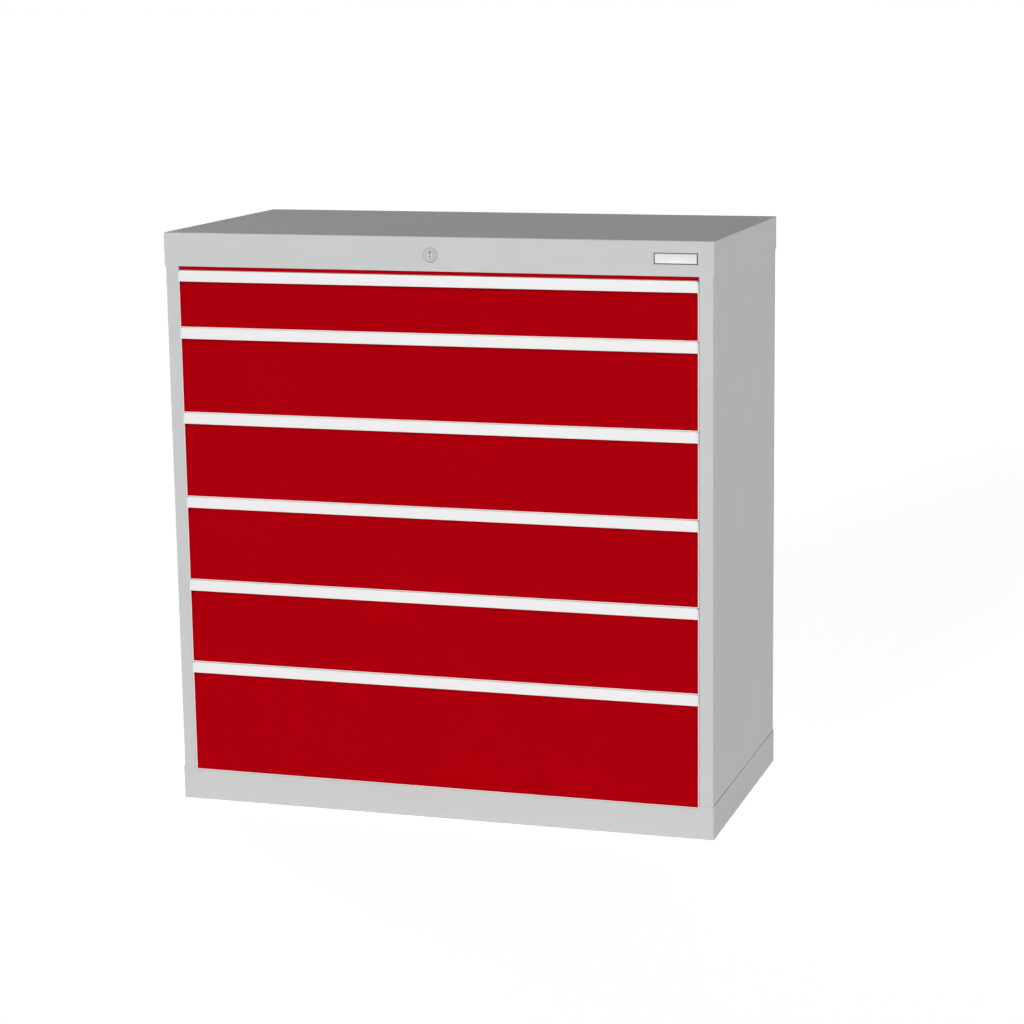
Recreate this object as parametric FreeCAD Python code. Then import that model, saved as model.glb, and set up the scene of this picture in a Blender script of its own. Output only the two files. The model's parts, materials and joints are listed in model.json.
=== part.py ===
import FreeCAD, Part
import math
import os

os.makedirs("parts", exist_ok=True)

# A sheet-steel drawer cabinet with six full-width drawers and one central lock.
# Millimetres. +Z up, the drawers open towards -Y, and +X is the right-hand side seen
# from the front. The origin is the middle of the footprint, on the floor.
# A depth, such as front_depth, is measured back from the outer face of the top cover's apron.

# ---- cabinet ---------------------------------------------------------------------------------
cabinet_width = 980.0
body_depth = 494.0
plinth_height = 59.0
cap_height = 58.5
cover_sheet = 1.5            # top cover and plinth, which sleeve over the carcass
carcass_sheet = 1.2          # side panels, back, base and rails
panel_bend = 0.5             # inner radius of the side panels' folds
cover_edge_radius = 2.5
stile_width = 24.2           # face of the side panel's front fold
stile_return = 28.0
rear_flange = 26.0
sill_step = 4.8              # the plinth's front is this much lower between the stiles
plinth_flange = 25.0         # bottom fold that stands on the floor
base_skirt = 38.0
slot_gap = 0.3               # from the opening's floor to the lowest drawer's slot
head_room = 7.0              # from the top drawer's slot to the fascia
seam_gap = 0.3               # free space between two fixed pieces that aren't in contact
overrun = 1.0                # how far a cutting block runs past the face that it cuts

# ---- drawers, from top to bottom -------------------------------------------------------------
drawer_pitches = [100.0, 150.0, 150.0, 150.0, 150.0, 200.0]
front_side_gap = 0.3
front_bottom_gap = 0.4
front_sheet = 1.2
shell_sheet = 1.2
tray_lift = 6.0              # underside of the tray above its slot
tray_head = 24.0             # free height above the tray's sides
tray_rear_gap = 24.0
tray_rim = 9.0
skin_gap = 1.5               # between the shell's front skin and the start of the finger hollow

# ---- grip strip and the finger hollow below it -----------------------------------------------
grip_height = 18.8
grip_top_gap = 0.3
grip_projection = 4.0        # in front of the cover's face
grip_sheet = 2.0
grip_web = 1.5
grip_lip = 2.2
grip_hook = 6.0
grip_hook_sheet = 1.2
grip_top_radius = 1.8
grip_edge_radius = 1.2
hollow_drop = 20.0           # how far the hollow starts below the grip strip
hollow_depth = 10.5
hollow_radius = 27.0
hollow_heel_radius = 8.0
cap_length = 4.0
cap_depth = 12.2
cap_corner_radius = 3.0      # seen from above
cap_shoulder_radius = 3.8    # seen from the front

# ---- telescopic slides -----------------------------------------------------------------------
slide_width = 12.7
slide_height = 36.0
slide_sheet = 1.2
slide_running_gap = 0.3
slide_setback = 20.0
slide_rear_gap = 24.0
slide_centre = 30.0          # above the slot's floor
outer_flange = 11.2
middle_flange = 8.9
middle_web_gap = 1.1
inner_flange = 8.0

# ---- uprights --------------------------------------------------------------------------------
upright_width = 30.0
upright_front = 48.0
upright_rear = 58.0
upright_inset = 1.0          # inner face of the uprights inside the opening's edge
upright_slot_pitch = 50.0
upright_slot_height = 12.0
upright_slot_width = 4.0
upright_slot_margin = 30.0

# ---- top rails and filler --------------------------------------------------------------------
rail_flange = 26.0
rear_rail_height = 40.0
filler_gap = 0.4             # above the top drawer's slot
filler_setback = 6.0         # behind the cover's face
filler_flange = 20.0
filler_bend = 2.2

# ---- lock ------------------------------------------------------------------------------------
lock_drop = 31.0             # lock axis below the top
rosette_diameter = 26.5
rosette_face_diameter = 20.0
rosette_height = 3.0
housing_diameter = 19.0
housing_length = 28.0
housing_hole_gap = 0.2
plug_diameter = 14.0
plug_running_gap = 0.3
plug_projection = 0.6
nut_across_flats = 24.0
nut_height = 4.0
keyway_width = 1.8
keyway_height = 10.8
keyway_lift = 1.0            # middle of the keyway above the lock axis
keyway_depth = 14.0
tang_side = 7.0
cam_sheet = 2.0
cam_hub_radius = 7.0
cam_tip_radius = 4.4
cam_throw = 9.0              # cam pin from the lock axis
cam_swing = 90.0             # degrees from open to locked
pin_diameter = 4.0
pin_slot_gap = 0.35
bar_sheet = 2.0
bar_gap = 0.7                # between the cam and the transfer bar
bar_height = 14.0
bar_end_margin = 5.0
rod_width = 10.0
rod_sheet = 3.0
rod_gap = 0.4                # between the transfer bar and the lock rod
rod_foot = 20.0              # bottom of the rod above the lowest slot
rod_pin_drop = 2.0
hook_reach = 10.0
hook_height = 9.2
hook_level = 48.8            # bottom of a hook above its drawer's slot
stud_diameter = 7.0
stud_length = 10.4
stud_level = 62.5
stud_gap = 0.5
guide_sheet = 1.5
guide_height = 16.0
guide_gap = 0.3
guide_overlap = 2.0
rod_guide_levels = [0.08, 0.5, 0.86]   # share of the opening's height
bar_guide_width = 20.0
hanger_foot = 10.0
bar_guide_places = [0.3, 0.75]         # share of the way from the lock to the rod

# ---- worked out from the sizes above ---------------------------------------------------------
half_width = cabinet_width / 2
front_y = -(body_depth + grip_projection) / 2 + grip_projection
back_y = front_y + body_depth
carcass_half = half_width - cover_sheet
inner_half = carcass_half - carcass_sheet
opening_half = carcass_half - stile_width
carcass_front = front_y + cover_sheet
carcass_back = back_y - cover_sheet

opening_floor = plinth_height - sill_step
slots_bottom = opening_floor + slot_gap
slots_top = slots_bottom + sum(drawer_pitches)
fascia_bottom = slots_top + head_room
cabinet_height = fascia_bottom + cap_height
carcass_top = cabinet_height - cover_sheet

shell_half = opening_half - front_side_gap
front_half = shell_half - shell_sheet
skin_y = front_y + front_sheet
hollow_y = front_y + hollow_depth
tray_front_y = hollow_y + front_sheet
tray_back_y = carcass_back - tray_rear_gap
upright_face = opening_half - upright_inset
tray_half = upright_face - slide_width

lock_z = cabinet_height - lock_drop
rail_web_y = carcass_front + carcass_sheet
housing_end_y = front_y + housing_length
cam_y = housing_end_y + plug_running_gap
bar_y = cam_y + cam_sheet + bar_gap
rod_y = bar_y + bar_sheet + rod_gap
rod_back_y = rod_y + rod_sheet
stud_y = rod_back_y + stud_gap + stud_diameter / 2
rod_x = opening_half + rod_width / 2
rod_pin_z = lock_z - rod_pin_drop
half_swing = math.radians(cam_swing / 2)
bar_travel = 2 * cam_throw * math.sin(half_swing)


def vector(x, y, z):
    return FreeCAD.Vector(x, y, z)


def block(x_span, y_span, z_span):
    """A rectangular solid between three (low, high) spans."""
    spans = (x_span, y_span, z_span)
    sides = [high - low for low, high in spans]
    return Part.makeBox(sides[0], sides[1], sides[2], vector(*[low for low, high in spans]))


def joined(shapes):
    """One solid from pieces that touch or overlap."""
    return shapes[0].multiFuse(shapes[1:]).removeSplitter().Solids[0]


def mirrored(shape):
    """The same piece on the other side of the cabinet."""
    return shape.mirror(vector(0, 0, 0), vector(1, 0, 0))


def pair(shape):
    return Part.makeCompound([shape, mirrored(shape)])


def cylinder_y(x, z, y_start, y_end, diameter):
    return Part.makeCylinder(diameter / 2, y_end - y_start, vector(x, y_start, z), vector(0, 1, 0))


AXES = {
    "x": (lambda u, v, w: vector(w, u, v), vector(1, 0, 0)),
    "y": (lambda u, v, w: vector(u, w, v), vector(0, 1, 0)),
    "z": (lambda u, v, w: vector(u, v, w), vector(0, 0, 1)),
}


def extruded(corners, axis, span):
    """A profile drawn square to an axis and extruded along it.

    A corner is (u, v) or (u, v, radius), where u and v are the other two axes in order.
    A radius rounds the corner with a tangent arc.
    """
    place, direction = AXES[axis]
    points = [place(corner[0], corner[1], span[0]) for corner in corners]
    radii = [corner[2] if len(corner) > 2 else 0.0 for corner in corners]
    starts, ends, arcs = [], [], []
    for index, point in enumerate(points):
        before = (points[index - 1] - point).normalize()
        after = (points[(index + 1) % len(points)] - point).normalize()
        radius = radii[index]
        if radius <= 0:
            starts.append(point)
            ends.append(point)
            arcs.append(None)
            continue
        half_angle = before.getAngle(after) / 2
        reach = radius / math.tan(half_angle)
        bisector = (before + after).normalize()
        middle = point + bisector * (radius / math.sin(half_angle) - radius)
        starts.append(point + before * reach)
        ends.append(point + after * reach)
        arcs.append(Part.Arc(starts[-1], middle, ends[-1]).toShape())
    edges = []
    for index in range(len(points)):
        if arcs[index]:
            edges.append(arcs[index])
        following = (index + 1) % len(points)
        if ends[index].distanceToPoint(starts[following]) > 1e-6:
            edges.append(Part.makeLine(ends[index], starts[following]))
    face = Part.Face(Part.Wire(edges))
    return face.extrude(direction * (span[1] - span[0]))


def folded(path, sheet, bend=None):
    """Profile corners of a folded sheet whose outer skin runs along path, metal on the left.

    bend is the inner radius of every fold. Without it the folds are sharp.
    """
    count = len(path)
    headings = []
    for start, end in zip(path, path[1:]):
        length = math.hypot(end[0] - start[0], end[1] - start[1])
        headings.append(((end[0] - start[0]) / length, (end[1] - start[1]) / length))
    skin, inside = [], []
    for index, (u, v) in enumerate(path):
        before = headings[max(index - 1, 0)]
        after = headings[min(index, count - 2)]
        sideways = (-(before[1] + after[1]), before[0] + after[0])
        mitre = sheet / (1 + before[0] * after[0] + before[1] * after[1])
        turn = before[0] * after[1] - before[1] * after[0]
        skin_radius, inside_radius = 0.0, 0.0
        if bend is not None and abs(turn) > 1e-6:
            skin_radius = bend + sheet if turn > 0 else bend
            inside_radius = bend if turn > 0 else bend + sheet
        skin.append((u, v, skin_radius))
        inside.append((u + sideways[0] * mitre, v + sideways[1] * mitre, inside_radius))
    return skin + inside[::-1]


# ---- cabinet body ----------------------------------------------------------------------------

def rounded_sleeve(low, high, radius):
    """The outer form of the top cover and the plinth, with rounded upright corners."""
    corners = [
        (-half_width, front_y, radius),
        (half_width, front_y, radius),
        (half_width, back_y, radius),
        (-half_width, back_y, radius),
    ]
    return extruded(corners, "z", (low, high))


def lock_hole():
    diameter = housing_diameter + 2 * housing_hole_gap
    return cylinder_y(0, lock_z, front_y - cover_sheet, rail_web_y + cover_sheet, diameter)


def top_cover():
    """The lid and its four aprons, welded at their edges. The front one is the fascia."""
    form = rounded_sleeve(fascia_bottom, cabinet_height, cover_edge_radius)
    rim = [edge for edge in form.Edges if edge.BoundBox.ZMin > carcass_top]
    form = form.makeFillet(cover_edge_radius, rim)
    width = (-half_width - overrun, half_width + overrun)
    front = (front_y - overrun, carcass_front)
    back = (carcass_back, back_y + overrun)
    aprons = (fascia_bottom - overrun, carcass_top)
    top = (carcass_top, cabinet_height + overrun)
    lid = form.common(block(width, (front[0], back[1]), top))
    fascia = form.common(block(width, front, aprons)).cut(lock_hole())
    rear = form.common(block(width, back, aprons))
    side = form.common(block((carcass_half, width[1]), (carcass_front, carcass_back), aprons))
    return Part.makeCompound([lid, fascia, rear, side, mirrored(side)])


def plinth():
    """A skirt with a floor flange, cut lower in front for the lowest drawer."""
    skirt = rounded_sleeve(0, plinth_height, cover_edge_radius)
    room = block((-carcass_half, carcass_half), (carcass_front, carcass_back),
                 (cover_sheet, plinth_height + overrun))
    window = block((plinth_flange - carcass_half, carcass_half - plinth_flange),
                   (carcass_front + plinth_flange, carcass_back - plinth_flange),
                   (-overrun, cover_sheet + overrun))
    notch = block((-opening_half, opening_half), (front_y - overrun, carcass_front + overrun),
                  (opening_floor, plinth_height + overrun))
    return skirt.cut(room).cut(window).cut(notch)


def side_panel():
    """The right-hand side: one sheet folded into the front stile and the rear flange."""
    path = [
        (carcass_half - rear_flange, carcass_back),
        (carcass_half, carcass_back),
        (carcass_half, carcass_front),
        (opening_half, carcass_front),
        (opening_half, carcass_front + stile_return),
    ]
    section = folded(path[::-1], carcass_sheet, bend=panel_bend)
    return extruded(section, "z", (cover_sheet, carcass_top))


def back_panel():
    half = inner_half - panel_bend - seam_gap
    rear = carcass_back - carcass_sheet
    return block((-half, half), (rear - carcass_sheet, rear), (opening_floor, carcass_top))


def base_plate():
    """The cabinet's floor: a pan that fits between the stiles and reaches the side panels."""
    wing_front = carcass_front + stile_return + seam_gap
    floor = (opening_floor - carcass_sheet, opening_floor)
    skirt = (opening_floor - base_skirt, opening_floor)
    rear = carcass_back - carcass_sheet - panel_bend
    tongue_half = opening_half - seam_gap
    tongue = block((-tongue_half, tongue_half), (carcass_front, wing_front + overrun), floor)
    wings = block((-inner_half, inner_half), (wing_front, rear), floor)
    front_fold = block((-tongue_half, tongue_half),
                       (carcass_front, carcass_front + carcass_sheet), skirt)
    rear_fold = block((-inner_half, inner_half), (rear - carcass_sheet, rear), skirt)
    return joined([tongue, wings, front_fold, rear_fold])


def front_rail():
    """A channel behind the fascia that carries the lock and the filler strip."""
    rear = carcass_front + rail_flange
    path = [
        (rear, fascia_bottom),
        (carcass_front, fascia_bottom),
        (carcass_front, carcass_top),
        (rear, carcass_top),
    ]
    section = folded(path[::-1], carcass_sheet)
    half = opening_half - seam_gap
    return extruded(section, "x", (-half, half)).cut(lock_hole())


def rear_rail():
    """An angle that stiffens the rear edge of the top."""
    wall = carcass_back - 2 * carcass_sheet
    path = [
        (wall - rail_flange, carcass_top),
        (wall, carcass_top),
        (wall, carcass_top - rear_rail_height),
    ]
    section = folded(path[::-1], carcass_sheet)
    half = opening_half - seam_gap
    return extruded(section, "x", (-half, half))


def filler_strip():
    """A narrow coloured angle that closes the opening above the top drawer."""
    face = front_y + filler_setback
    path = [
        (face, slots_top + filler_gap),
        (face, fascia_bottom),
        (face + filler_flange, fascia_bottom),
    ]
    section = folded(path[::-1], front_sheet, bend=filler_bend - front_sheet)
    return extruded(section, "x", (-front_half, front_half))


def upright(y_low):
    """A slotted channel between a side panel and the slides."""
    path = [
        (inner_half, y_low),
        (upright_face, y_low),
        (upright_face, y_low + upright_width),
        (inner_half, y_low + upright_width),
    ]
    section = folded(path[::-1], carcass_sheet)
    post = extruded(section, "z", (opening_floor, carcass_top))
    run = slots_top - slots_bottom - 2 * upright_slot_margin
    count = int(run / upright_slot_pitch) + 1
    middle_y = y_low + upright_width / 2
    slots = []
    for index in range(count):
        bottom = slots_bottom + upright_slot_margin + index * upright_slot_pitch
        slots.append(block((upright_face - overrun, upright_face + carcass_sheet + overrun),
                           (middle_y - upright_slot_width / 2, middle_y + upright_slot_width / 2),
                           (bottom, bottom + upright_slot_height)))
    return post.cut(Part.makeCompound(slots))


# ---- slides ----------------------------------------------------------------------------------

def slide_span():
    return (front_y + slide_setback, carcass_back - slide_rear_gap)


def channel(web_x, flange, height, centre_z, opens_inward=True):
    """A slide member: a channel whose web's outer face is at web_x."""
    tip = web_x - flange if opens_inward else web_x + flange
    path = [
        (tip, centre_z - height / 2),
        (web_x, centre_z - height / 2),
        (web_x, centre_z + height / 2),
        (tip, centre_z + height / 2),
    ]
    if not opens_inward:
        path = path[::-1]
    return extruded(folded(path, slide_sheet), "y", slide_span())


def outer_rail(slot_z):
    return channel(upright_face, outer_flange, slide_height, slot_z + slide_centre)


def middle_rail(slot_z):
    web_x = upright_face - slide_sheet - middle_web_gap
    height = slide_height - 2 * (slide_sheet + slide_running_gap)
    return channel(web_x, middle_flange, height, slot_z + slide_centre)


def inner_rail(slot_z):
    height = slide_height - 4 * (slide_sheet + slide_running_gap)
    return channel(tray_half, inner_flange, height, slot_z + slide_centre, opens_inward=False)


def drawer_runners(slot_z):
    """What is riveted to a tray's sides: two inner rails, and the stud that the lock holds."""
    rail = inner_rail(slot_z)
    stud = Part.makeCylinder(stud_diameter / 2, stud_length,
                             vector(tray_half, stud_y, slot_z + stud_level), vector(1, 0, 0))
    return Part.makeCompound([rail, mirrored(rail), stud])


# ---- one drawer ------------------------------------------------------------------------------

def grip_levels(slot_z, pitch):
    """Bottom and top of a drawer's grip strip."""
    top = slot_z + pitch - grip_top_gap
    return top - grip_height, top


def drawer_shell(slot_z, pitch):
    """The tray and its hollow front: folded sheets, welded where their faces meet.

    The cheeks and the foot end flush with the coloured front and frame it.
    """
    grip_bottom, grip_top = grip_levels(slot_z, pitch)
    foot = slot_z + front_bottom_gap
    floor_z = slot_z + tray_lift
    low = floor_z - shell_sheet
    rim_z = slot_z + pitch - tray_head
    skin_top = grip_bottom - hollow_drop - skin_gap
    inner = tray_half - shell_sheet
    wall_back = tray_front_y + shell_sheet
    rear_inner = tray_back_y - shell_sheet
    rim_back = tray_back_y - tray_rim

    wall = block((-shell_half, shell_half), (tray_front_y, wall_back),
                 (foot, grip_top - grip_web))
    skin = block((-front_half, front_half), (skin_y, skin_y + shell_sheet), (foot, skin_top))
    fold = block((-front_half, front_half), (front_y, tray_front_y), (foot, foot + shell_sheet))
    cheek = block((front_half, shell_half), (front_y, tray_front_y), (foot, grip_bottom))
    floor = block((-inner, inner), (wall_back, rear_inner), (floor_z, floor_z + shell_sheet))

    side_path = [
        (tray_half - tray_rim, low),
        (tray_half, low),
        (tray_half, rim_z),
        (tray_half - tray_rim, rim_z),
    ]
    side = joined([
        extruded(folded(side_path, shell_sheet), "y", (wall_back, rim_back)),
        block((inner, tray_half), (rim_back - shell_sheet, rear_inner), (low, rim_z)),
    ])
    back_path = [(rim_back, low), (tray_back_y, low), (tray_back_y, rim_z), (rim_back, rim_z)]
    back = joined([
        extruded(folded(back_path, shell_sheet), "x", (-inner, inner)),
        block((-tray_half, tray_half), (rear_inner, tray_back_y), (low, rim_z)),
    ])
    return Part.makeCompound([wall, joined([skin, fold]), cheek, mirrored(cheek), floor,
                              side, mirrored(side), back])


def rolled_sheet(face, back):
    """A sheet whose face and back each run straight to a point and then round an arc."""
    edges = []
    for start, arc_start, arc_middle, arc_end in (face, back):
        edges.append(Part.makeLine(start, arc_start))
        edges.append(Part.Arc(arc_start, arc_middle, arc_end).toShape())
    edges.append(Part.makeLine(face[0], back[0]))
    edges.append(Part.makeLine(face[3], back[3]))
    wire = Part.Wire(Part.__sortEdges__(edges))
    return Part.Face(wire).extrude(vector(2 * front_half, 0, 0))


def drawer_front(slot_z, pitch):
    """The coloured front, rolled inwards at its top, and the heel that ends the finger hollow.

    The heel stands on the roll's upper edge, and the two make one smooth curve. A plate at
    each end, flush with the front, closes the hollow.
    """
    grip_bottom, grip_top = grip_levels(slot_z, pitch)
    foot = slot_z + front_bottom_gap + shell_sheet
    start_z = grip_bottom - hollow_drop
    turn = math.acos(1 - hollow_depth / (hollow_radius + hollow_heel_radius))
    heel_z = start_z + (hollow_radius + hollow_heel_radius) * math.sin(turn)

    def roll_side(offset):
        radius = hollow_radius - offset
        points = [vector(-front_half, front_y + offset, foot)]
        for angle in (0, turn / 2, turn):
            points.append(vector(-front_half,
                                 front_y + hollow_radius - radius * math.cos(angle),
                                 start_z + radius * math.sin(angle)))
        return points

    def heel_side(offset):
        radius = hollow_heel_radius + offset
        points = [vector(-front_half, hollow_y + offset, grip_top - grip_web)]
        for angle in (0, turn / 2, turn):
            points.append(vector(-front_half,
                                 hollow_y - hollow_heel_radius + radius * math.cos(angle),
                                 heel_z - radius * math.sin(angle)))
        return points

    roll = rolled_sheet(roll_side(0), roll_side(front_sheet))
    heel = rolled_sheet(heel_side(0), heel_side(front_sheet))
    start, middle, end = roll_side(0)[1:]
    above = vector(-front_half, front_y, end.z)
    outline = Part.Wire([
        Part.Arc(start, middle, end).toShape(),
        Part.makeLine(end, above),
        Part.makeLine(above, start),
    ])
    plate = Part.Face(outline).extrude(vector(front_sheet, 0, 0))
    return Part.makeCompound([roll, heel, plate, mirrored(plate)])


def grip_strip(slot_z, pitch):
    """The grip bar with its lip, the cover over the finger hollow, and the clamp behind."""
    bottom, top = grip_levels(slot_z, pitch)
    face = front_y - grip_projection
    bar_back = face + grip_sheet
    lip_back = bar_back + grip_lip
    lip_top = bottom + grip_sheet
    clamp_face = tray_front_y + shell_sheet
    clamp_back = clamp_face + grip_hook_sheet
    half = shell_half - cap_length
    span = (-half, half)
    corners = [
        (face, bottom, grip_edge_radius),
        (lip_back, bottom, grip_edge_radius / 2),
        (lip_back, lip_top, grip_edge_radius / 2),
        (bar_back, lip_top),
        (bar_back, top),
        (face, top, grip_top_radius),
    ]
    bar = extruded(corners, "x", span)
    cover = block(span, (bar_back, clamp_back), (top - grip_web, top))
    clamp = block(span, (clamp_face, clamp_back), (top - grip_hook, top - grip_web))
    return Part.makeCompound([bar, cover, clamp])


def grip_caps(slot_z, pitch):
    """Two moulded end caps that close the grip strip, with rounded shoulders."""
    bottom, top = grip_levels(slot_z, pitch)
    face = front_y - grip_projection
    inner = shell_half - cap_length
    plan = [
        (inner, face),
        (shell_half, face, cap_corner_radius),
        (shell_half, face + cap_depth),
        (inner, face + cap_depth),
    ]
    front = [
        (inner, bottom),
        (shell_half, bottom),
        (shell_half, top, cap_shoulder_radius),
        (inner, top),
    ]
    cap = extruded(plan, "z", (bottom, top))
    return pair(cap.common(extruded(front, "y", (face, face + cap_depth))).Solids[0])


# ---- lock ------------------------------------------------------------------------------------

def lock_housing():
    """The cylinder's barrel with its conical rosette."""
    flange = Part.makeCone(rosette_diameter / 2, rosette_face_diameter / 2, rosette_height,
                           vector(0, front_y, lock_z), vector(0, -1, 0))
    barrel = cylinder_y(0, lock_z, front_y, housing_end_y, housing_diameter)
    bore = cylinder_y(0, lock_z, front_y - rosette_height - overrun, housing_end_y + overrun,
                      plug_diameter + 2 * plug_running_gap)
    return joined([flange, barrel]).cut(bore)


def lock_nut():
    radius = nut_across_flats / 2 / math.cos(math.radians(30))
    corners = []
    for index in range(6):
        angle = math.radians(60 * index)
        corners.append((radius * math.cos(angle), lock_z + radius * math.sin(angle)))
    nut = extruded(corners, "y", (rail_web_y, rail_web_y + nut_height))
    return nut.cut(cylinder_y(0, lock_z, rail_web_y - overrun, rail_web_y + nut_height + overrun,
                              housing_diameter))


def lock_plug():
    face = front_y - rosette_height - plug_projection
    plug = cylinder_y(0, lock_z, face, cam_y, plug_diameter)
    keyway_z = lock_z + keyway_lift
    keyway = block((-keyway_width / 2, keyway_width / 2), (face - overrun, face + keyway_depth),
                   (keyway_z - keyway_height / 2, keyway_z + keyway_height / 2))
    tang = block((-tang_side / 2, tang_side / 2), (cam_y - overrun, cam_y + cam_sheet),
                 (lock_z - tang_side / 2, lock_z + tang_side / 2))
    return joined([plug.cut(keyway), tang])


def cam_pin_place():
    """The cam pin with the lock open."""
    return -cam_throw * math.sin(half_swing), lock_z + cam_throw * math.cos(half_swing)


def lock_cam():
    """The arm on the plug's tang, with the pin that drives the transfer bar."""
    pin_x, pin_z = cam_pin_place()
    back = cam_y + cam_sheet
    hub = cylinder_y(0, lock_z, cam_y, back, 2 * cam_hub_radius)
    tip = cylinder_y(pin_x, pin_z, cam_y, back, 2 * cam_tip_radius)
    arm = block((-cam_tip_radius, cam_tip_radius), (cam_y, back), (lock_z, lock_z + cam_throw))
    arm.rotate(vector(0, 0, lock_z), vector(0, 1, 0), -cam_swing / 2)
    pin = cylinder_y(pin_x, pin_z, cam_y, bar_y + bar_sheet + rod_gap, pin_diameter)
    tang = block((-tang_side / 2, tang_side / 2), (cam_y - overrun, back + overrun),
                 (lock_z - tang_side / 2, lock_z + tang_side / 2))
    return joined([hub, tip, arm, pin]).cut(tang)


def slot_cutter(start, end, width, y_span):
    """A round-ended slot through a plate, from one (x, z) to another."""
    run = math.hypot(end[0] - start[0], end[1] - start[1])
    angle = math.degrees(math.atan2(end[1] - start[1], end[0] - start[0]))
    lane = block((0, run), y_span, (-width / 2, width / 2))
    lane.rotate(vector(0, 0, 0), vector(0, 1, 0), -angle)
    lane.translate(vector(start[0], 0, start[1]))
    rounds = [cylinder_y(x, z, y_span[0], y_span[1], width) for x, z in (start, end)]
    return joined([lane] + rounds)


def transfer_bar():
    """The bar that carries the cam's throw across to the lock rod."""
    pin_x, pin_z = cam_pin_place()
    high_pin_z = lock_z + cam_throw
    slot_width = pin_diameter + 2 * pin_slot_gap
    plate = (bar_y, bar_y + bar_sheet)
    cut = (bar_y - overrun, bar_y + bar_sheet + overrun)
    strip_bottom = (pin_z + high_pin_z) / 2 - bar_height / 2
    left = pin_x - slot_width / 2 - bar_end_margin
    right = rod_x + slot_width / 2
    end_left = rod_x - bar_travel - slot_width / 2 - bar_end_margin
    end_bottom = rod_pin_z - slot_width / 2 - bar_end_margin
    end_top = rod_pin_z + bar_travel + slot_width / 2 + bar_end_margin
    strip = block((left, right), plate, (strip_bottom, strip_bottom + bar_height))
    ramp_plate = block((end_left, right + overrun), plate, (end_bottom, end_top))
    yoke = slot_cutter((pin_x, pin_z - pin_slot_gap), (pin_x, high_pin_z + pin_slot_gap),
                       slot_width, cut)
    ramp = slot_cutter((rod_x, rod_pin_z), (rod_x - bar_travel, rod_pin_z + bar_travel),
                       slot_width, cut)
    return joined([strip, ramp_plate]).cut(yoke).cut(ramp)


def lock_rod():
    """The upright rod, lifted by the transfer bar's ramp, with one welded hook per drawer."""
    plate = (rod_y, rod_back_y)
    x_span = (rod_x - rod_width / 2, rod_x + rod_width / 2)
    rod = block(x_span, plate, (slots_bottom + rod_foot, rod_pin_z + bar_end_margin))
    pin = cylinder_y(rod_x, rod_pin_z, bar_y - rod_gap, rod_back_y, pin_diameter)
    hooks = []
    for slot_z, pitch in drawer_slots():
        heights = (slot_z + hook_level, slot_z + hook_level + hook_height)
        hooks.append(block((x_span[0] - hook_reach, x_span[0]), plate, heights))
    return Part.makeCompound([joined([rod, pin])] + hooks)


def bar_guides():
    """Clips on the right side panel for the rod, and hangers under the top for the bar."""
    guides = []
    x_low = rod_x - rod_width / 2 + guide_overlap
    x_high = rod_x + rod_width / 2 + guide_gap
    front = rod_y - guide_gap
    back = rod_back_y + guide_gap
    for share in rod_guide_levels:
        level = slots_bottom + share * (slots_top - slots_bottom)
        path = [
            (x_low, back + guide_sheet),
            (x_high + guide_sheet, back + guide_sheet),
            (x_high + guide_sheet, front - guide_sheet),
            (x_low, front - guide_sheet),
        ]
        heights = (level, level + guide_height)
        clip = extruded(folded(path[::-1], guide_sheet), "z", heights)
        middle_y = (front + back) / 2
        arm = block((x_high, inner_half), (middle_y - guide_sheet / 2, middle_y + guide_sheet / 2),
                    heights)
        guides.append(joined([clip, arm]))
    pin_z = cam_pin_place()[1]
    strip_bottom = (pin_z + lock_z + cam_throw) / 2 - bar_height / 2 - guide_gap
    lip_y = bar_y - guide_gap - guide_sheet
    rear_y = bar_y + bar_sheet + guide_gap
    for share in bar_guide_places:
        x_span = (share * rod_x - bar_guide_width / 2, share * rod_x + bar_guide_width / 2)
        path = [
            (lip_y, strip_bottom + bar_height / 2),
            (lip_y, strip_bottom - guide_sheet),
            (rear_y + guide_sheet, strip_bottom - guide_sheet),
            (rear_y + guide_sheet, carcass_top - guide_sheet),
        ]
        hanger = extruded(folded(path, guide_sheet), "x", x_span)
        foot = block(x_span, (rear_y, rear_y + hanger_foot),
                     (carcass_top - guide_sheet, carcass_top))
        guides.append(joined([hanger, foot]))
    return Part.makeCompound(guides)


def drawer_slots():
    """(bottom, pitch) of each drawer's slot, from top to bottom."""
    slots = []
    top = slots_top
    for pitch in drawer_pitches:
        top -= pitch
        slots.append((top, pitch))
    return slots


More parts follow.
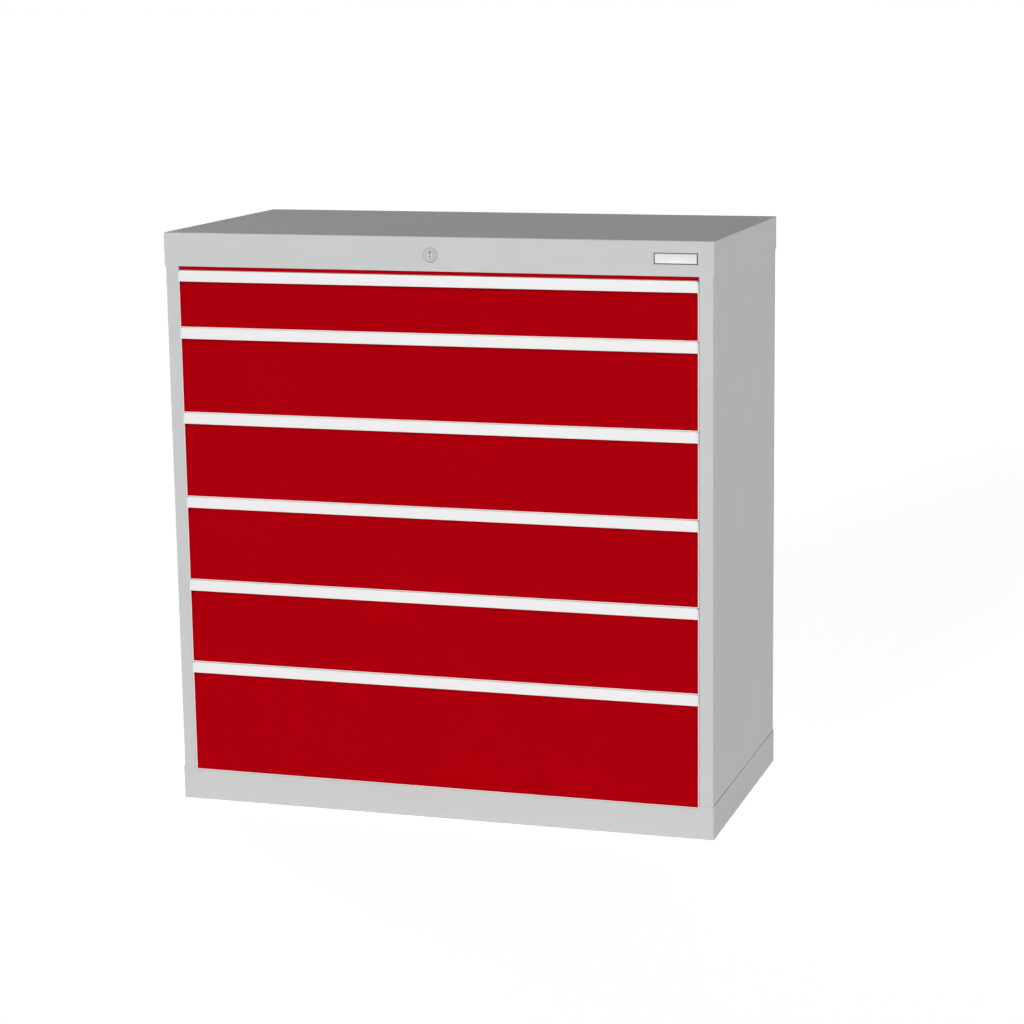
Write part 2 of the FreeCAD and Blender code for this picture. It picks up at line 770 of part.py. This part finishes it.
def build():
    """Every sub-part by its name."""
    rear_post_y = carcass_back - upright_rear - upright_width
    front_post = upright(front_y + upright_front)
    rear_post = upright(rear_post_y)
    side = side_panel()
    rails = Part.makeCompound([outer_rail(slot_z) for slot_z, pitch in drawer_slots()])
    nodes = {
        "top_cover": top_cover(),
        "plinth": plinth(),
        "side_panel_right": side,
        "side_panel_left": mirrored(side),
        "back_panel": back_panel(),
        "base_plate": base_plate(),
        "front_rail": front_rail(),
        "rear_rail": rear_rail(),
        "filler_strip": filler_strip(),
        "upright_front_right": front_post,
        "upright_front_left": mirrored(front_post),
        "upright_rear_right": rear_post,
        "upright_rear_left": mirrored(rear_post),
        "outer_rails_right": rails,
        "outer_rails_left": mirrored(rails),
        "lock_housing": lock_housing(),
        "lock_nut": lock_nut(),
        "lock_plug": lock_plug(),
        "lock_cam": lock_cam(),
        "transfer_bar": transfer_bar(),
        "lock_rod": lock_rod(),
        "bar_guides": bar_guides(),
    }
    for number, (slot_z, pitch) in enumerate(drawer_slots(), start=1):
        nodes[f"drawer_shell_{number}"] = drawer_shell(slot_z, pitch)
        nodes[f"drawer_front_{number}"] = drawer_front(slot_z, pitch)
        nodes[f"grip_strip_{number}"] = grip_strip(slot_z, pitch)
        nodes[f"grip_caps_{number}"] = grip_caps(slot_z, pitch)
        nodes[f"drawer_runners_{number}"] = drawer_runners(slot_z)
        nodes[f"middle_rails_{number}"] = pair(middle_rail(slot_z))
    return nodes


for name, shape in build().items():
    if not shape.isValid():
        raise ValueError(name + " isn't a valid shape")
    shape.exportStep("parts/" + name + ".step")
    box = shape.BoundBox
    print(f"{name:22s} solids {len(shape.Solids)} volume {shape.Volume / 1000:9.1f} cm3 "
          f"x {box.XMin:7.1f} {box.XMax:7.1f}  y {box.YMin:7.1f} {box.YMax:7.1f}  "
          f"z {box.ZMin:7.1f} {box.ZMax:7.1f}")
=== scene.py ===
import json
import math

import bpy
from mathutils import Matrix, Vector


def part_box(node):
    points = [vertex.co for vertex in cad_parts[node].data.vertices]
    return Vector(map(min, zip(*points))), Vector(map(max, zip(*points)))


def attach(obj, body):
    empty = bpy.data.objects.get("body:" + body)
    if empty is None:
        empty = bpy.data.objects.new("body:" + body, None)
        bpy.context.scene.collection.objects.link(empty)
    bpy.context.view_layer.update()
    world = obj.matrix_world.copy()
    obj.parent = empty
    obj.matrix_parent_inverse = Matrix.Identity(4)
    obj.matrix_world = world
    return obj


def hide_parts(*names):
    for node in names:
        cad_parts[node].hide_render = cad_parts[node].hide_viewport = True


# A sheet-steel drawer cabinet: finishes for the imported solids, the small pieces that complete
# them, the camera and a plain studio. Metres. The drawers open towards -Y.

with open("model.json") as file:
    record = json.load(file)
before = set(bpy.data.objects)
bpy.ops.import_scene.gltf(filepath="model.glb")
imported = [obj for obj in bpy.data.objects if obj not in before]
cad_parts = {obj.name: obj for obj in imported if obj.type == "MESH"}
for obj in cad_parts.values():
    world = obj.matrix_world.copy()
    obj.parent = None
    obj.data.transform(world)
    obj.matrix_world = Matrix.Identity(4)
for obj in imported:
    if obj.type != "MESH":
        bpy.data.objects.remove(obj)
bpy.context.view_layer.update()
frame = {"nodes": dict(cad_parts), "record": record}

MM = 0.001
DRAWERS = range(1, 7)


# ---- node maths ----------------------------------------------------------------------------

class Value:
    """An output socket of a node tree. Its operators add Math nodes."""

    def __init__(self, finish, socket):
        self.finish = finish
        self.socket = socket

    def maths(self, operation, first, second):
        settings = {"operation": operation}
        return self.finish.add("ShaderNodeMath", settings, {0: first, 1: second}).out()

    def __add__(self, other):
        return self.maths("ADD", self, other)

    def __sub__(self, other):
        return self.maths("SUBTRACT", self, other)

    def __rsub__(self, other):
        return self.maths("SUBTRACT", other, self)

    def __mul__(self, other):
        return self.maths("MULTIPLY", self, other)

    __radd__ = __add__
    __rmul__ = __mul__

    def above(self, edge):
        return self.maths("GREATER_THAN", self, edge)

    def swing(self, width):
        """A pattern around 0.5 made a change around 0."""
        return (self - 0.5) * width


class Node:
    """A node, whose outputs are picked by name or number."""

    def __init__(self, finish, node):
        self.finish = finish
        self.node = node

    def out(self, name=0):
        return Value(self.finish, self.node.outputs[name])


class Finish:
    """The node tree of a material, or of the world, built node by node."""

    def __init__(self, owner, end_kind="ShaderNodeOutputMaterial"):
        owner.use_nodes = True
        self.owner = owner
        self.tree = owner.node_tree
        self.tree.nodes.clear()
        self.end = self.tree.nodes.new(end_kind)

    def add(self, kind, settings=None, sockets=None):
        """A node of any kind, with its settings first and then its sockets' values or links."""
        node = self.tree.nodes.new(kind)
        for name, setting in (settings or {}).items():
            setattr(node, name, setting)
        for name, given in (sockets or {}).items():
            if isinstance(given, Value):
                self.tree.links.new(given.socket, node.inputs[name])
            else:
                node.inputs[name].default_value = given
        return Node(self, node)

    def place(self, scale=(1, 1, 1)):
        """Object coordinates, stretched."""
        where = self.add("ShaderNodeTexCoord").out("Object")
        return self.add("ShaderNodeMapping", {}, {"Vector": where, "Scale": scale}).out()

    def noise(self, where, scale, detail=2.0):
        """A noise pattern around 0.5."""
        return self.add("ShaderNodeTexNoise", {}, {
            "Vector": where, "Scale": scale, "Detail": detail,
        }).out()

    def blend(self, share, first, second):
        """Mixes two colours. A Mix node's kinds share their socket names, so numbers are used."""
        return self.add("ShaderNodeMix", {"data_type": "RGBA"}, {
            0: share, 6: first, 7: second,
        }).out(2)

    def mottle(self, share, colour, dark, light):
        """A colour that varies between a darker and a lighter tone of it."""
        return self.blend(share, tone(colour, dark), tone(colour, light))

    def relief(self, height, depth, strength):
        return self.add("ShaderNodeBump", {}, {
            "Height": height, "Distance": depth, "Strength": strength,
        }).out()

    def show(self, shader):
        """Links the last shader to the end of the tree."""
        self.tree.links.new(shader.socket, self.end.inputs["Surface"])
        return self.owner

    def surface(self, colour, roughness, normal, metallic=0.0, specular=0.5):
        return self.show(self.add("ShaderNodeBsdfPrincipled", {}, {
            "Base Color": colour, "Roughness": roughness, "Metallic": metallic,
            "Specular IOR Level": specular, "Normal": normal,
        }).out())


def new_finish(name):
    """The node tree of a new material."""
    return Finish(bpy.data.materials.new(name))


def tone(colour, factor):
    """A colour made lighter or darker."""
    return tuple(channel * factor for channel in colour) + (1.0,)


def powder_coat(name, colour, roughness, specular):
    """Baked powder paint: a fine orange peel, faint clouds of tone and a few brighter grains."""
    finish = new_finish(name)
    where = finish.place()
    clouds = finish.noise(where, scale=5.0, detail=3.0)
    peel = finish.noise(where, scale=520.0, detail=1.0)
    grain = finish.noise(where, scale=1500.0)
    toned = finish.mottle(clouds, colour, dark=0.965, light=1.035)
    speckled = finish.blend(grain.above(0.68) * 0.25, toned, tone(colour, 1.12))
    return finish.surface(
        speckled,
        roughness + peel.swing(0.12) + clouds.swing(0.06),
        finish.relief(peel + grain * 0.35, depth=0.06 * MM, strength=0.55),
        specular=specular,
    )


def zinc_plate(name, colour, roughness, along):
    """Bright zinc on cold-rolled strip: faint rolling lines along one axis and soft blooms."""
    finish = new_finish(name)
    stretch = [1.0 if axis in along else 60.0 for axis in "xyz"]
    lines = finish.noise(finish.place(scale=stretch), scale=24.0, detail=4.0)
    blooms = finish.noise(finish.place(), scale=38.0, detail=3.0)
    return finish.surface(
        finish.mottle(blooms, colour, dark=0.86, light=1.08),
        roughness + lines.swing(0.22) + blooms.swing(0.12),
        finish.relief(lines, depth=0.04 * MM, strength=0.5),
        metallic=0.9,
    )


def satin_nickel(name, colour, roughness):
    """Dull nickel plate, brushed a little, with soft blooms."""
    finish = new_finish(name)
    fine = finish.noise(finish.place(scale=(1, 0.2, 1)), scale=900.0, detail=3.0)
    blooms = finish.noise(finish.place(), scale=120.0)
    return finish.surface(
        finish.mottle(blooms, colour, dark=0.92, light=1.04),
        roughness + fine.swing(0.2),
        finish.relief(fine, depth=0.03 * MM, strength=0.5),
        metallic=0.2, specular=0.1,
    )


def moulded_plastic(name, colour, roughness):
    """Injection-moulded plastic with a fine spark-eroded grain."""
    finish = new_finish(name)
    where = finish.place()
    grain = finish.add("ShaderNodeTexVoronoi", {}, {"Vector": where, "Scale": 1400.0}).out()
    clouds = finish.noise(where, scale=60.0)
    return finish.surface(
        finish.mottle(clouds, colour, dark=0.97, light=1.02),
        roughness + grain.swing(0.1),
        finish.relief(grain, depth=0.04 * MM, strength=0.4),
        specular=0.4,
    )


# Colours are linear.
LIGHT_GREY = (0.590, 0.603, 0.598)
INNER_GREY = (0.52, 0.53, 0.52)
SIGNAL_RED = (0.400, 0.0, 0.004)
PURE_WHITE = (0.85, 0.85, 0.85)
CAP_WHITE = (0.80, 0.80, 0.80)
ZINC = (0.62, 0.63, 0.65)
HOUSING_NICKEL = (0.48, 0.48, 0.485)
PLUG_NICKEL = (0.47, 0.47, 0.47)
PALE_GREY = (0.76, 0.77, 0.80)
NEAR_BLACK = (0.085, 0.088, 0.090)

FINISHES = {
    "carcass_coat": powder_coat("carcass_coat", LIGHT_GREY, roughness=0.75, specular=0.03),
    "drawer_coat": powder_coat("drawer_coat", PURE_WHITE, roughness=0.5, specular=0.10),
    "front_coat": powder_coat("front_coat", SIGNAL_RED, roughness=0.7, specular=0.0),
    "grip_coat": powder_coat("grip_coat", PURE_WHITE, roughness=0.42, specular=0.15),
    "cap_plastic": moulded_plastic("cap_plastic", CAP_WHITE, roughness=0.45),
    "inner_steel": powder_coat("inner_steel", INNER_GREY, roughness=0.6, specular=0.15),
    "zinc_steel": zinc_plate("zinc_steel", ZINC, roughness=0.34, along="y"),
    "lock_metal": satin_nickel("lock_metal", HOUSING_NICKEL, roughness=0.5),
    "plug_metal": satin_nickel("plug_metal", PLUG_NICKEL, roughness=0.5),
}
PLATE_LIGHT = moulded_plastic("plate_light", PALE_GREY, roughness=0.40)
PLATE_DARK = moulded_plastic("plate_dark", NEAR_BLACK, roughness=0.45)

for subpart in frame["record"]["subparts"]:
    mesh = frame["nodes"][subpart["node"]].data
    mesh.materials.clear()
    mesh.materials.append(FINISHES[subpart["material_slot"]])


# ---- modelling helpers ---------------------------------------------------------------------

FACING = 0.99            # how nearly a face looks one way to be picked
SHARP_EDGE = 35          # degrees past which an edge is rounded, or stays sharp in the shading


def deselect_all():
    for item in bpy.context.selected_objects:
        item.select_set(False)


def select_only(piece):
    deselect_all()
    piece.select_set(True)
    bpy.context.view_layer.objects.active = piece


def place_in_mesh(piece):
    """The object goes to the origin, and its place and turn go into its mesh."""
    select_only(piece)
    bpy.ops.object.transform_apply(location=True, rotation=True, scale=True)


def new_block(name, low, high):
    """A block between two corners."""
    deselect_all()
    centre = [(start + end) / 2 for start, end in zip(low, high)]
    size = [end - start for start, end in zip(low, high)]
    bpy.ops.mesh.primitive_cube_add(size=1, location=centre, scale=size)
    piece = bpy.context.object
    piece.name = name
    place_in_mesh(piece)
    return piece


def new_disc(name, centre, radius, depth, sides=96):
    """A round disc across the y axis, with its middle at a point."""
    deselect_all()
    bpy.ops.mesh.primitive_cylinder_add(vertices=sides, radius=radius, depth=depth,
                                        location=centre, rotation=(math.pi / 2, 0, 0))
    piece = bpy.context.object
    piece.name = name
    place_in_mesh(piece)
    return piece


def pick_faces(piece, towards, within=None):
    """Opens edit mode with only the faces selected that look one way and whose middle suits."""
    select_only(piece)
    bpy.ops.object.mode_set(mode="EDIT")
    bpy.ops.mesh.select_mode(type="FACE")
    bpy.ops.mesh.select_all(action="DESELECT")
    bpy.ops.object.mode_set(mode="OBJECT")
    for face in piece.data.polygons:
        looks_there = face.normal.dot(Vector(towards)) > FACING
        face.select = looks_there and (within is None or within(face.center))
    bpy.ops.object.mode_set(mode="EDIT")


def leave_edit():
    bpy.ops.object.mode_set(mode="OBJECT")


def draw_out(move_y, grow=1.0, centre=(0, 0, 0)):
    """Extrudes the selected cap along y, and scales the new cap about a point."""
    bpy.ops.mesh.extrude_region_move(TRANSFORM_OT_translate={"value": (0, move_y, 0)})
    bpy.ops.transform.resize(value=(grow, 1, grow), center_override=centre)


def soften(piece, width, segments=2):
    """Rounds the sharp edges."""
    select_only(piece)
    bevel = piece.modifiers.new("soft_edges", "BEVEL")
    bevel.width = width
    bevel.segments = segments
    bevel.limit_method = "ANGLE"
    bevel.angle_limit = math.radians(SHARP_EDGE)
    bpy.ops.object.modifier_apply(modifier=bevel.name)


def smooth(piece, angle=SHARP_EDGE):
    """Shades a piece smooth, but for its sharp edges."""
    select_only(piece)
    bpy.ops.object.shade_smooth_by_angle(angle=math.radians(angle))


def copy_at(piece, name, place, turn=0.0):
    """A copy with a mesh of its own, turned about z and moved."""
    select_only(piece)
    bpy.ops.object.duplicate(linked=False)
    twin = bpy.context.object
    twin.name = name
    twin.rotation_euler = (0, 0, turn)
    twin.location = place
    place_in_mesh(twin)
    return twin


def join_as(name, pieces):
    """One piece from several."""
    select_only(pieces[0])
    for piece in pieces[1:]:
        piece.select_set(True)
    bpy.ops.object.join()
    pieces[0].name = name
    return pieces[0]


def fit(piece, body, slot, *finishes):
    """Gives a piece its finishes, unless it has them, and the body that it moves with."""
    for finish in finishes:
        piece.data.materials.append(finish)
    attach(piece, body)


# ---- grip bars -----------------------------------------------------------------------------

GRIP_SHEET = 2.0 * MM
GRIP_LIP = 2.2 * MM      # how far the lip reaches back
WEB_SHEET = 1.5 * MM
HOOK_DROP = 4.5 * MM     # below the web
HOOK_SHEET = 1.2 * MM
GRIP_EDGE = 0.4 * MM     # rounding
GRIP_RISE = 0.4 * MM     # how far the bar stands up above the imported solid


def cut_level(piece, height):
    """Cuts a piece's faces along a level line."""
    select_only(piece)
    bpy.ops.object.mode_set(mode="EDIT")
    bpy.ops.mesh.select_all(action="SELECT")
    bpy.ops.mesh.bisect(plane_co=(0, 0, height), plane_no=(0, 0, 1))
    leave_edit()


def grip_bar():
    """The top drawer's drawn bar: face, lip, the web over the finger hollow, and the hook."""
    low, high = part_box("grip_strip_1")
    top = high.z + GRIP_RISE
    back = low.y + GRIP_SHEET
    lip_top = low.z + GRIP_SHEET
    web_foot = top - WEB_SHEET
    hook_face = high.y - HOOK_SHEET
    bar = new_block("grip_bar_1", low, (high.x, back, top))
    cut_level(bar, lip_top)
    cut_level(bar, web_foot)
    pick_faces(bar, (0, 1, 0), lambda middle: middle.z < lip_top)
    draw_out(GRIP_LIP)
    leave_edit()
    pick_faces(bar, (0, 1, 0), lambda middle: middle.z > web_foot)
    draw_out(hook_face - back)
    draw_out(HOOK_SHEET)
    leave_edit()
    pick_faces(bar, (0, 0, -1), lambda middle: middle.y > hook_face)
    bpy.ops.mesh.extrude_region_move(TRANSFORM_OT_translate={"value": (0, 0, -HOOK_DROP)})
    leave_edit()
    soften(bar, GRIP_EDGE, segments=3)
    smooth(bar)
    return bar


def grip_bars():
    """One bar to a drawer, standing in for the imported strip, which is hidden. A copy keeps the
    first bar's finish.
    """
    first = grip_bar()
    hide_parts("grip_strip_1")
    fit(first, "drawer_1", "grip_coat", FINISHES["grip_coat"])
    first_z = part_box("grip_strip_1")[0].z
    for number in DRAWERS[1:]:
        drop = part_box(f"grip_strip_{number}")[0].z - first_z
        bar = copy_at(first, f"grip_bar_{number}", (0, 0, drop))
        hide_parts(f"grip_strip_{number}")
        fit(bar, f"drawer_{number}", "grip_coat")


grip_bars()


# ---- nameplate -----------------------------------------------------------------------------

COVER_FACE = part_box("top_cover")[0].y       # the outer face of the cover's front apron
PLATE_SHEET = 0.8 * MM
PLATE_LOW = (388.2 * MM, COVER_FACE - PLATE_SHEET, 981.0 * MM)
PLATE_HIGH = (462.8 * MM, COVER_FACE, 1000.2 * MM)
PLATE_RIM = 1.9 * MM
PLATE_RECESS = 0.15 * MM
PLATE_EDGE = 0.12 * MM


def nameplate():
    """A bare plate on the cover: a light face, a little sunk in a thin dark rim."""
    plate = new_block("nameplate", PLATE_LOW, PLATE_HIGH)
    plate.data.materials.append(PLATE_DARK)
    plate.data.materials.append(PLATE_LIGHT)
    pick_faces(plate, (0, -1, 0))
    bpy.ops.mesh.inset(thickness=PLATE_RIM)
    draw_out(PLATE_RECESS)
    plate.active_material_index = 1
    bpy.ops.object.material_slot_assign()
    leave_edit()
    soften(plate, PLATE_EDGE)
    smooth(plate)
    fit(plate, "cabinet", "cap_plastic")


nameplate()


# ---- cylinder lock -------------------------------------------------------------------------

HOUSING_LOW, HOUSING_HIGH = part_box("lock_housing")
PLUG_LOW, PLUG_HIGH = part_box("lock_plug")
LOCK_Z = (HOUSING_LOW.z + HOUSING_HIGH.z) / 2
ROSETTE_RADIUS = (HOUSING_HIGH.z - HOUSING_LOW.z) / 2
ROSETTE_RIM = 0.6 * MM
MOUTH_RADIUS = 10.3 * MM
STEP_RADIUS = 9.7 * MM
STEP_HEIGHT = 0.3 * MM
PLUG_GAP = 0.3 * MM
BORE_RADIUS = (PLUG_HIGH.z - PLUG_LOW.z) / 2 + PLUG_GAP
BORE_CHAMFER = 0.5 * MM
FRONT_BORE = 2 * MM      # how far behind the cover's face the bore's front half ends
BARREL_RADIUS = 9.5 * MM
THREAD_PITCH = 1.5 * MM
THREAD_ROOT = 0.95       # share of the barrel's radius
THREADS = 14
THREAD_SHADE = 25        # degrees past which an edge of the lock stays sharp
JOIN_GAP = 0.01 * MM     # points nearer than this are one point


def lock_body():
    """The conical rosette with its stepped mouth, and the threaded barrel behind it."""
    def on_axis(y):
        return (0, y, LOCK_Z)

    rim_y = COVER_FACE - ROSETTE_RIM
    step_y = HOUSING_LOW.y + STEP_HEIGHT
    bore_y = COVER_FACE + FRONT_BORE
    body = new_disc("lock_body", on_axis(COVER_FACE - ROSETTE_RIM / 2), ROSETTE_RADIUS,
                    ROSETTE_RIM)
    pick_faces(body, (0, -1, 0))
    draw_out(step_y - rim_y, MOUTH_RADIUS / ROSETTE_RADIUS, on_axis(step_y))
    draw_out(0, STEP_RADIUS / MOUTH_RADIUS, on_axis(step_y))
    draw_out(-STEP_HEIGHT)
    draw_out(0, (BORE_RADIUS + BORE_CHAMFER) / STEP_RADIUS, on_axis(HOUSING_LOW.y))
    draw_out(BORE_CHAMFER, BORE_RADIUS / (BORE_RADIUS + BORE_CHAMFER),
             on_axis(HOUSING_LOW.y + BORE_CHAMFER))
    draw_out(bore_y - HOUSING_LOW.y - BORE_CHAMFER)
    bpy.ops.mesh.delete(type="FACE")
    leave_edit()
    pick_faces(body, (0, 1, 0))
    draw_out(0, BARREL_RADIUS / ROSETTE_RADIUS, on_axis(COVER_FACE))
    for turn in range(THREADS):
        root_y = COVER_FACE + (turn + 0.5) * THREAD_PITCH
        draw_out(THREAD_PITCH / 2, THREAD_ROOT, on_axis(root_y))
        draw_out(THREAD_PITCH / 2, 1 / THREAD_ROOT, on_axis(root_y + THREAD_PITCH / 2))
    draw_out(HOUSING_HIGH.y - COVER_FACE - THREADS * THREAD_PITCH)
    draw_out(0, BORE_RADIUS / BARREL_RADIUS, on_axis(HOUSING_HIGH.y))
    draw_out(bore_y - HOUSING_HIGH.y)
    bpy.ops.mesh.delete(type="FACE")
    bpy.ops.mesh.select_all(action="SELECT")
    bpy.ops.mesh.remove_doubles(threshold=JOIN_GAP)
    bpy.ops.mesh.normals_make_consistent(inside=False)
    leave_edit()
    smooth(body, THREAD_SHADE)
    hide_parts("lock_housing")
    fit(body, "cabinet", "lock_metal", FINISHES["lock_metal"])


WAFER_HALF = 0.88 * MM
WAFER_SHEET = 0.6 * MM
WAFER_EDGE = 0.1 * MM
# Each wafer's depth in the plug, its level from the lock's axis and half its height, in mm.
WAFER_PLACES = [(0.15, 0.5, 1.7), (3.0, -0.1, 1.7), (5.5, -0.6, 1.8), (8.0, -1.1, 1.7)]


def keyway_wafers():
    """The sprung wafers across the keyway."""
    for number, (depth, level, half) in enumerate(WAFER_PLACES, 1):
        near = PLUG_LOW.y + depth * MM
        wafer = new_block(f"keyway_wafer_{number}",
                          (-WAFER_HALF, near, LOCK_Z + (level - half) * MM),
                          (WAFER_HALF, near + WAFER_SHEET, LOCK_Z + (level + half) * MM))
        soften(wafer, WAFER_EDGE)
        smooth(wafer)
        fit(wafer, "lock", "plug_metal", FINISHES["plug_metal"])


lock_body()
keyway_wafers()


# ---- rivets --------------------------------------------------------------------------------

RIVET_RADIUS = 3.0 * MM
RIVET_HEIGHT = 0.9 * MM
RIVET_SIDES = 24
RIVET_SHADE = 50         # degrees past which an edge of a head stays sharp
DOME_STEP = 0.86         # each next ring's share of the radius before it
DOME_TOP = 0.66
DIMPLE_MOUTH = 0.5
DIMPLE_FLOOR = 0.8
RAIL_CENTRE = 15 * MM    # above the foot of the drawer's runners
RAIL_FLANGE = 8 * MM
TRAY_SHEET = 1.2 * MM
RUNNER_MARGIN = 45 * MM  # from a rail's end to its first rivet
RUNNER_RIVETS = 4
FLANGE_INSET = 13 * MM   # from a side panel's outer face
FLANGE_MARGIN = 60 * MM  # from the plinth and the cover to the nearest rivet
FLANGE_RIVETS = 6


def blind_rivet():
    """A domed head that looks along y, with the dimple that its pulled stem leaves."""
    layer = RIVET_HEIGHT / 3
    head = new_disc("blind_rivet", (0, layer / 2, 0), RIVET_RADIUS, layer, RIVET_SIDES)
    pick_faces(head, (0, 1, 0))
    draw_out(layer, DOME_STEP)
    draw_out(layer, DOME_TOP)
    draw_out(0, DIMPLE_MOUTH)
    draw_out(-layer, DIMPLE_FLOOR)
    leave_edit()
    smooth(head, RIVET_SHADE)
    head.data.materials.append(FINISHES["zinc_steel"])
    return head


def runner_rivets(rivet):
    """The heads inside a tray that hold its inner rails."""
    low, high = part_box("drawer_runners_1")
    wall = -low.x - RAIL_FLANGE - TRAY_SHEET
    first_y = low.y + RUNNER_MARGIN
    step = (high.y - RUNNER_MARGIN - first_y) / (RUNNER_RIVETS - 1)
    heads = []
    for side in (-1, 1):
        for index in range(RUNNER_RIVETS):
            place = (side * wall, first_y + index * step, low.z + RAIL_CENTRE)
            heads.append(copy_at(rivet, "runner_rivet", place, side * math.pi / 2))
    first = join_as("runner_rivets_1", heads)
    fit(first, "drawer_1", "zinc_steel")
    for number in DRAWERS[1:]:
        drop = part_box(f"drawer_runners_{number}")[0].z - low.z
        row = copy_at(first, f"runner_rivets_{number}", (0, 0, drop))
        fit(row, f"drawer_{number}", "zinc_steel")


def flange_rivets(rivet):
    """The heads that hold the back panel to the side panels' rear flanges."""
    panel_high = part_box("side_panel_right")[1]
    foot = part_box("plinth")[1].z + FLANGE_MARGIN
    step = (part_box("top_cover")[0].z - FLANGE_MARGIN - foot) / (FLANGE_RIVETS - 1)
    heads = []
    for side in (-1, 1):
        for index in range(FLANGE_RIVETS):
            place = (side * (panel_high.x - FLANGE_INSET), panel_high.y, foot + index * step)
            heads.append(copy_at(rivet, "flange_rivet", place))
    fit(join_as("flange_rivets", heads), "cabinet", "zinc_steel")


rivet_pattern = blind_rivet()
runner_rivets(rivet_pattern)
flange_rivets(rivet_pattern)
bpy.data.objects.remove(rivet_pattern)


# ---- camera --------------------------------------------------------------------------------

CAMERA_PLACE = (1.4717, -4.4403, 1.4247)
CAMERA_AZIMUTH = 16.677
CAMERA_ELEVATION = 10.997
CAMERA_ROLL = -0.617
CAMERA_SENSOR = 36.0     # the width, in the unit of the lens
CAMERA_LENS = 92.73
CAMERA_SHIFT = (-0.0423, -0.0090)
CAMERA_REACH = 600.0     # past the floor's far edge


def studio_camera():
    data = bpy.data.cameras.new("studio_camera")
    data.sensor_width = CAMERA_SENSOR
    data.lens = CAMERA_LENS
    data.shift_x, data.shift_y = CAMERA_SHIFT
    data.clip_end = CAMERA_REACH
    camera = bpy.data.objects.new("studio_camera", data)
    turn = (Matrix.Rotation(math.radians(CAMERA_AZIMUTH), 4, "Z")
            @ Matrix.Rotation(math.radians(90 - CAMERA_ELEVATION), 4, "X")
            @ Matrix.Rotation(math.radians(CAMERA_ROLL), 4, "Z"))
    camera.matrix_world = Matrix.Translation(Vector(CAMERA_PLACE)) @ turn
    bpy.context.scene.collection.objects.link(camera)
    bpy.context.scene.camera = camera


studio_camera()


# ---- studio --------------------------------------------------------------------------------

WHITE = (1.0, 1.0, 1.0, 1.0)
FLOOR_SIZE = 400
FLOOR_DROP = 0.5 * MM    # keeps the floor clear of the plinth's flange
FLOOR_TONE = (0.66, 0.66, 0.66)
FLOOR_GLOW = 0.80        # what the floor adds to its own shade where it is looked at
RING_LEVEL = 1.54        # the light from the horizon
RING_TOP = 0.24          # sine of the height up to which it stays level
RING_END = 0.44          # and of the height at which it is gone


def seen_ray(finish):
    """1 where the camera, a reflection or a clear surface looks at the backdrop."""
    path = finish.add("ShaderNodeLightPath")
    ray = path.out("Is Camera Ray") + path.out("Is Glossy Ray")
    ray = ray + path.out("Is Transmission Ray")
    return ray.maths("MINIMUM", ray, 1.0)


def studio_floor():
    deselect_all()
    bpy.ops.mesh.primitive_plane_add(size=FLOOR_SIZE, location=(0, 0, -FLOOR_DROP))
    floor = bpy.context.object
    floor.name = "studio_floor"
    finish = new_finish("studio_floor")
    clouds = finish.noise(finish.place(), scale=0.8)
    shade = finish.mottle(clouds, FLOOR_TONE, dark=0.99, light=1.01)
    matt = finish.add("ShaderNodeBsdfDiffuse", {}, {"Color": shade}).out()
    glow = finish.add("ShaderNodeEmission", {}, {
        "Color": WHITE, "Strength": seen_ray(finish) * FLOOR_GLOW,
    }).out()
    both = finish.add("ShaderNodeAddShader", {}, {0: matt, 1: glow}).out()
    floor.data.materials.append(finish.show(both))


def studio_world():
    """White to the camera and in reflections. As a light, a low ring of soft boxes all round."""
    world = bpy.data.worlds.new("studio_world")
    bpy.context.scene.world = world
    finish = Finish(world, "ShaderNodeOutputWorld")
    seen = seen_ray(finish)
    towards = finish.add("ShaderNodeTexCoord").out("Generated")
    height = finish.add("ShaderNodeSeparateXYZ", {}, {"Vector": towards}).out("Z")
    ring = finish.add("ShaderNodeMapRange", {}, {
        "Value": height, "From Min": RING_TOP, "From Max": RING_END,
        "To Min": RING_LEVEL, "To Max": 0.0,
    }).out()
    strength = seen + (1 - seen) * ring
    finish.show(finish.add("ShaderNodeBackground", {}, {
        "Color": WHITE, "Strength": strength,
    }).out())


def soft_sun(name, towards, strength, spread):
    """A sun that stands in the direction given. Its spread in degrees softens its shadows."""
    data = bpy.data.lights.new(name, "SUN")
    data.energy = strength
    data.angle = math.radians(spread)
    lamp = bpy.data.objects.new(name, data)
    lamp.rotation_euler = Vector(towards).to_track_quat("Z", "Y").to_euler()
    bpy.context.scene.collection.objects.link(lamp)


studio_floor()
studio_world()
soft_sun("front_lamp", (-0.22, -0.95, 0.16), strength=1.71, spread=16)
soft_sun("right_lamp", (0.99, -0.10, 0.06), strength=1.3, spread=30)
soft_sun("rear_lamp", (-0.66, 0.75, 0.06), strength=1.6, spread=30)
bpy.context.scene.view_settings.view_transform = "Standard"
